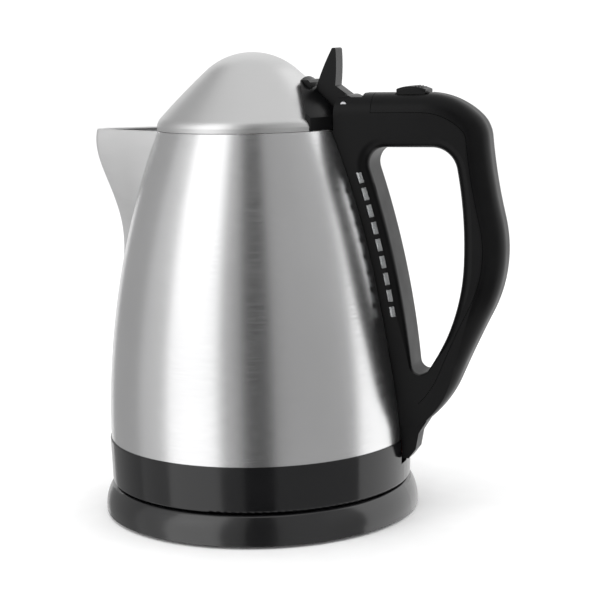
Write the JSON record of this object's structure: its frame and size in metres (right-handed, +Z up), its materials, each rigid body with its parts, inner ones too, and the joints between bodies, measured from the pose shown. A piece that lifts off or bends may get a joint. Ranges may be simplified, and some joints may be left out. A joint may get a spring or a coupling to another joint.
{
  "type": "electric kettle",
  "caption": "Cordless electric kettle with a tapered steel body, beak spout, domed hinged lid, closed handle with water gauge and rocker switch, and a round power base.",
  "frame": {"origin": "centre of the power base on the table", "axes": "+X towards the handle, -X towards the spout, +Z up"},
  "size_m": [0.2111, 0.1574, 0.226],
  "materials": {
    "brushed_steel": "vertical brushed satin",
    "lid_steel": "satin",
    "inner_steel": "matt",
    "gloss_black": "gloss",
    "satin_black": "satin",
    "dark_grey": "matt",
    "rubber": "matt",
    "silicone": "matt",
    "clear": "polished",
    "aluminium": "cast",
    "brass": "plain",
    "zinc": "zinc plated",
    "wire": "plain"
  },
  "bodies": {
    "base": {"base_bottom_plate": "dark_grey", "base_top_shell": "gloss_black", "base_screws": "zinc", "base_connector": "dark_grey", "base_contacts": "brass", "cord_gland": "rubber", "foot_ring": "rubber"},
    "shutter": {"contact_shutter": "dark_grey"},
    "kettle": {"body_shell": "brushed_steel", "spout": "brushed_steel", "spout_strainer": "inner_steel", "body_band": "gloss_black", "plate_seal": "silicone", "heater_plate": "inner_steel", "heat_diffuser": "aluminium", "heating_element": "inner_steel", "kettle_connector": "dark_grey", "connector_contacts": "brass", "control_unit": "dark_grey", "control_bimetals": "brass", "underside_cover": "satin_black", "underside_screws": "zinc", "hinge_pin": "zinc", "handle_frame": "satin_black", "handle_cover": "satin_black", "handle_screws": "zinc", "water_gauge": "clear", "gauge_gasket": "silicone", "lead_wires": "wire", "switch_housing": "dark_grey", "switch_pins": "zinc", "steam_bimetal": "brass"},
    "lid": {"lid_dome": "lid_steel", "lid_liner": "satin_black", "lid_seal": "silicone", "lid_screws": "zinc", "lid_hinge_cover": "satin_black"},
    "switch": {"power_switch": "satin_black"},
    "trip": {"trip_lever": "dark_grey"}
  },
  "joints": [
    {"name": "kettle_swivel", "type": "hinge", "parent": "base", "child": "shutter", "pos_m": [0, 0, 0], "axis": [0, 0, 1], "continuous": true},
    {"name": "kettle_lift", "type": "slide", "parent": "shutter", "child": "kettle", "axis": [0, 0, 1], "range_m": [0, 0.06]},
    {"name": "lid_hinge", "type": "hinge", "parent": "kettle", "child": "lid", "pos_m": [0.0505, 0, 0.1995], "axis": [0, 1, 0], "range_deg": [0, 70]},
    {"name": "switch_rock", "type": "hinge", "parent": "kettle", "child": "switch", "pos_m": [0.082, 0, 0.1998], "axis": [0, 1, 0], "range_deg": [0, 8]},
    {"name": "trip_rock", "type": "hinge", "parent": "kettle", "child": "trip", "pos_m": [0.088, 0, 0.1905], "axis": [0, 1, 0], "range_deg": [-8, 0]}
  ],
  "couplings": [
    {"joint": "trip_rock", "follows": "switch_rock", "ratio": -1}
  ]
}
